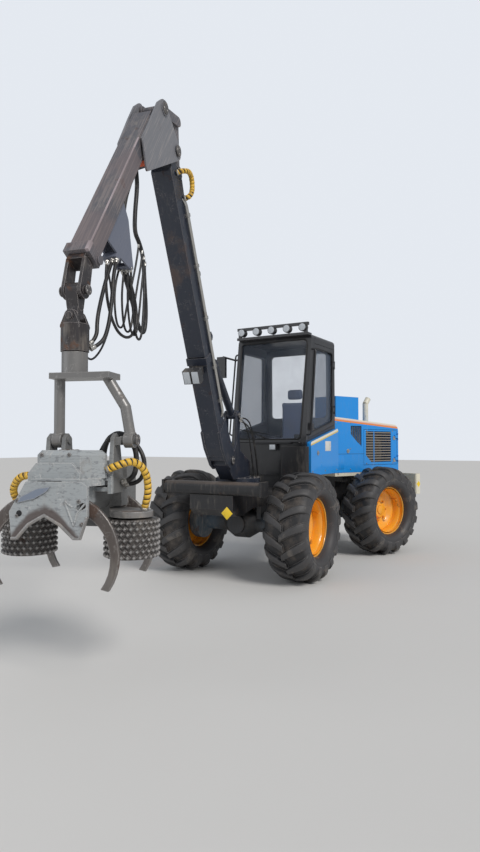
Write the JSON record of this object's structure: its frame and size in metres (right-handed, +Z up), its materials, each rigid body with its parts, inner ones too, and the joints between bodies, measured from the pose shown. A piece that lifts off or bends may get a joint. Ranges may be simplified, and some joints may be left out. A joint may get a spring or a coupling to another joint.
{
  "type": "forestry harvester",
  "caption": "Articulated wheeled forestry harvester with a knuckle-boom crane, a tilting felling head, a glazed cab and a rear engine bay.",
  "frame": {"origin": "on the ground under the middle of the machine's bounding box", "axes": "+X forward along the front section, +Y to the driver's left, +Z up"},
  "size_m": [8.2543, 2.6444, 4.8211],
  "materials": {
    "body_blue": "gloss",
    "bumper_cream": "satin",
    "cab_black": "satin",
    "crane_paint": "worn satin",
    "engine_iron": "matte",
    "frame_black": "satin",
    "head_grey": "worn satin",
    "hose_rubber": "matte",
    "lamp_plastic": "gloss",
    "rim_orange": "satin",
    "rod_chrome": "polished",
    "seat_grey": "matte",
    "seat_plastic": "matte",
    "tyre": "matte",
    "window": "clear",
    "worn_steel": "worn"
  },
  "bodies": {
    "front_section": {"front_frame": "frame_black", "front_axle": "frame_black", "cab_shell": "cab_black", "cab_glass": "window", "cab_skirts": "body_blue", "lamp_rack": "lamp_plastic", "seat_base": "seat_plastic", "seat_cushions": "seat_grey"},
    "cab_door": {"cab_door": "cab_black", "door_glass": "window"},
    "rear_section": {"rear_frame": "frame_black", "rear_axle": "frame_black", "hood": "body_blue", "hood_deck": "bumper_cream", "engine": "engine_iron", "exhaust": "bumper_cream", "rear_bumper": "bumper_cream"},
    "grille_door_left": {"grille_door_left": "body_blue"},
    "grille_door_right": {"grille_door_right": "body_blue"},
    "crane_pillar": {"crane_pillar": "crane_paint"},
    "main_boom": {"main_boom": "crane_paint", "boom_lamps": "lamp_plastic", "hose_boom": "hose_rubber"},
    "lift_barrel": {"lift_barrel": "crane_paint"},
    "lift_rod": {"lift_rod": "rod_chrome"},
    "knuckle_barrel": {"knuckle_barrel": "crane_paint"},
    "knuckle_rod": {"knuckle_rod": "rod_chrome"},
    "rocker": {"rocker_links": "crane_paint"},
    "coupler": {"coupler_links": "crane_paint"},
    "knuckle_boom": {"knuckle_boom": "crane_paint", "hose_loop": "hose_rubber"},
    "extension": {"extension": "crane_paint"},
    "tip_link": {"tip_link": "crane_paint"},
    "rotator": {"rotator": "crane_paint"},
    "head_bracket": {"head_bracket": "head_grey"},
    "head_frame": {"head_frame": "head_grey", "hose_head_right": "hose_rubber", "hose_head_left": "hose_rubber"},
    "steer_barrel_left": {"steer_barrel_left": "crane_paint"},
    "steer_rod_left": {"steer_rod_left": "rod_chrome"},
    "front_knife_left": {"front_knife_left": "worn_steel"},
    "rear_knife_left": {"rear_knife_left": "worn_steel"},
    "roller_arm_left": {"roller_arm_left": "worn_steel"},
    "feed_roller_left": {"feed_roller_left": "worn_steel"},
    "steer_barrel_right": {"steer_barrel_right": "crane_paint"},
    "steer_rod_right": {"steer_rod_right": "rod_chrome"},
    "front_knife_right": {"front_knife_right": "worn_steel"},
    "rear_knife_right": {"rear_knife_right": "worn_steel"},
    "roller_arm_right": {"roller_arm_right": "worn_steel"},
    "feed_roller_right": {"feed_roller_right": "worn_steel"},
    "wheel_front_left": {"tyre_front_left": "tyre", "rim_front_left": "rim_orange"},
    "wheel_front_right": {"tyre_front_right": "tyre", "rim_front_right": "rim_orange"},
    "wheel_rear_left": {"tyre_rear_left": "tyre", "rim_rear_left": "rim_orange"},
    "wheel_rear_right": {"tyre_rear_right": "tyre", "rim_rear_right": "rim_orange"}
  },
  "joints": [
    {"name": "steering", "type": "hinge", "parent": "front_section", "child": "rear_section", "pos_m": [-2.18837, -0.21422, 0.79944], "axis": [0, 0, 1], "range_deg": [-18.3, 61.7]},
    {"name": "steer_barrel_turn_left", "type": "hinge", "parent": "front_section", "child": "steer_barrel_left", "pos_m": [-1.43837, -0.01422, 0.79944], "axis": [0, 0, 1], "range_deg": [-1.37, 3.91]},
    {"name": "steer_rod_slide_left", "type": "slide", "parent": "steer_barrel_left", "child": "steer_rod_left", "axis": [-0.9974, 0.0719, 0], "range_m": [-0.0778, 0.2551]},
    {"name": "steer_barrel_turn_right", "type": "hinge", "parent": "front_section", "child": "steer_barrel_right", "pos_m": [-1.43837, -0.41422, 0.79944], "axis": [0, 0, 1], "range_deg": [-1.36, 3.88]},
    {"name": "steer_rod_slide_right", "type": "slide", "parent": "steer_barrel_right", "child": "steer_rod_right", "axis": [-0.9999, -0.0155, 0], "range_m": [-0.2513, 0.0766]},
    {"name": "wheel_turn_front_left", "type": "hinge", "parent": "front_section", "child": "wheel_front_left", "pos_m": [-0.13337, 0.62578, 0.66444], "axis": [0, 1, 0], "continuous": true},
    {"name": "wheel_turn_front_right", "type": "hinge", "parent": "front_section", "child": "wheel_front_right", "pos_m": [-0.13337, -1.05422, 0.66444], "axis": [0, 1, 0], "continuous": true},
    {"name": "wheel_turn_rear_left", "type": "hinge", "parent": "rear_section", "child": "wheel_rear_left", "pos_m": [-2.54397, 0.83135, 0.66444], "axis": [0.3697, 0.9291, 0], "continuous": true},
    {"name": "wheel_turn_rear_right", "type": "hinge", "parent": "rear_section", "child": "wheel_rear_right", "pos_m": [-3.16515, -0.72959, 0.66444], "axis": [0.3697, 0.9291, 0], "continuous": true},
    {"name": "cab_door_swing", "type": "hinge", "parent": "front_section", "child": "cab_door", "pos_m": [-1.80537, 0.37678, 2.49944], "axis": [0, 0, 1], "range_deg": [0, 75]},
    {"name": "grille_swing_left", "type": "hinge", "parent": "rear_section", "child": "grille_door_left", "pos_m": [-3.46003, 0.8418, 1.64944], "axis": [0, 0, 1], "range_deg": [0, 100]},
    {"name": "grille_swing_right", "type": "hinge", "parent": "rear_section", "child": "grille_door_right", "pos_m": [-3.83791, -0.10777, 1.64944], "axis": [0, 0, -1], "range_deg": [0, 100]},
    {"name": "slew", "type": "hinge", "parent": "front_section", "child": "crane_pillar", "pos_m": [0.01663, -0.21422, 1.09944], "axis": [0, 0, 1], "range_deg": [-134, 106]},
    {"name": "lift", "type": "hinge", "parent": "crane_pillar", "child": "main_boom", "pos_m": [0.58396, -0.09364, 1.47944], "axis": [-0.2079, 0.9781, 0], "range_deg": [-8, 50]},
    {"name": "lift_barrel_turn", "type": "hinge", "parent": "crane_pillar", "child": "lift_barrel", "pos_m": [0.26117, -0.16225, 2.02944], "axis": [-0.2079, 0.9781, 0], "range_deg": [-7.9, 47.79]},
    {"name": "lift_rod_slide", "type": "slide", "parent": "lift_barrel", "child": "lift_rod", "axis": [0.7387, 0.157, 0.6555], "range_m": [-0.089, 0.5408]},
    {"name": "knuckle", "type": "hinge", "parent": "main_boom", "child": "knuckle_boom", "pos_m": [2.17815, 0.24522, 4.44746], "axis": [0.2079, -0.9781, 0], "range_deg": [-10, 85]},
    {"name": "rocker_turn", "type": "hinge", "parent": "main_boom", "child": "rocker", "pos_m": [2.05386, 0.2188, 4.32177], "axis": [0.2079, -0.9781, 0], "range_deg": [-8.28, 68.16]},
    {"name": "coupler_turn", "type": "hinge", "parent": "knuckle_boom", "child": "coupler", "pos_m": [2.46594, 0.30639, 4.70974], "axis": [0.2079, -0.9781, 0], "range_deg": [-35.38, 4.43]},
    {"name": "knuckle_barrel_turn", "type": "hinge", "parent": "main_boom", "child": "knuckle_barrel", "pos_m": [1.55584, 0.11294, 3.4432], "axis": [0.2079, -0.9781, 0], "range_deg": [-2.37, 17.94]},
    {"name": "knuckle_rod_slide", "type": "slide", "parent": "knuckle_barrel", "child": "knuckle_rod", "axis": [0.3718, 0.079, 0.9249], "range_m": [-0.3226, 0.0406]},
    {"name": "extension_slide", "type": "slide", "parent": "knuckle_boom", "child": "extension", "axis": [0.5385, 0.1145, -0.8348], "range_m": [0, 1.1]},
    {"name": "tip_swing", "type": "hinge", "parent": "extension", "child": "tip_link", "pos_m": [3.65735, 0.55963, 2.76986], "axis": [-0.2079, 0.9781, 0], "range_deg": [-45, 60]},
    {"name": "tip_sway", "type": "hinge", "parent": "tip_link", "child": "rotator", "pos_m": [3.65735, 0.55963, 2.57986], "axis": [0.9781, 0.2079, 0], "range_deg": [-25, 25]},
    {"name": "head_rotate", "type": "hinge", "parent": "rotator", "child": "head_bracket", "pos_m": [3.65735, 0.55963, 2.32944], "axis": [0, 0, 1], "continuous": true},
    {"name": "head_tilt", "type": "hinge", "parent": "head_bracket", "child": "head_frame", "pos_m": [3.65735, 0.55963, 1.69944], "axis": [0.309, -0.9511, 0], "range_deg": [0, 90]},
    {"name": "front_knife_left", "type": "hinge", "parent": "head_frame", "child": "front_knife_left", "pos_m": [3.88364, 0.83399, 1.26944], "axis": [0.9511, 0.309, 0], "range_deg": [-33, 25]},
    {"name": "rear_knife_left", "type": "hinge", "parent": "head_frame", "child": "rear_knife_left", "pos_m": [3.18326, 0.59486, 1.23944], "axis": [0.9511, 0.309, 0], "range_deg": [-28, 25]},
    {"name": "roller_arm_left", "type": "hinge", "parent": "head_frame", "child": "roller_arm_left", "pos_m": [3.31023, 0.65714, 1.17944], "axis": [0, 0, 1], "range_deg": [-28, 10]},
    {"name": "feed_roller_left", "type": "hinge", "parent": "roller_arm_left", "child": "feed_roller_left", "pos_m": [3.43863, 0.90916, 0.99944], "axis": [0, 0, 1], "continuous": true},
    {"name": "front_knife_right", "type": "hinge", "parent": "head_frame", "child": "front_knife_right", "pos_m": [4.00169, 0.47069, 1.26944], "axis": [-0.9511, -0.309, 0], "range_deg": [-33, 25]},
    {"name": "rear_knife_right", "type": "hinge", "parent": "head_frame", "child": "rear_knife_right", "pos_m": [3.2945, 0.25248, 1.23944], "axis": [-0.9511, -0.309, 0], "range_deg": [-28, 25]},
    {"name": "roller_arm_right", "type": "hinge", "parent": "head_frame", "child": "roller_arm_right", "pos_m": [3.43383, 0.27672, 1.17944], "axis": [0, 0, -1], "range_deg": [-28, 10]},
    {"name": "feed_roller_right", "type": "hinge", "parent": "roller_arm_right", "child": "feed_roller_right", "pos_m": [3.68585, 0.14831, 0.99944], "axis": [0, 0, 1], "continuous": true}
  ],
  "couplings": [
    {"joint": "steer_barrel_turn_left", "follows": "steering", "ratio": 0.05789},
    {"joint": "steer_rod_slide_left", "follows": "steering", "m_per_rad": 0.23408},
    {"joint": "steer_barrel_turn_right", "follows": "steering", "ratio": 0.05742},
    {"joint": "steer_rod_slide_right", "follows": "steering", "m_per_rad": -0.23058},
    {"joint": "lift_barrel_turn", "follows": "lift", "ratio": 0.94038},
    {"joint": "lift_rod_slide", "follows": "lift", "m_per_rad": 0.61628},
    {"joint": "rocker_turn", "follows": "knuckle", "ratio": 0.79044},
    {"joint": "coupler_turn", "follows": "knuckle", "ratio": -0.40862},
    {"joint": "knuckle_barrel_turn", "follows": "knuckle", "ratio": 0.20542},
    {"joint": "knuckle_rod_slide", "follows": "knuckle", "m_per_rad": -0.21544}
  ]
}
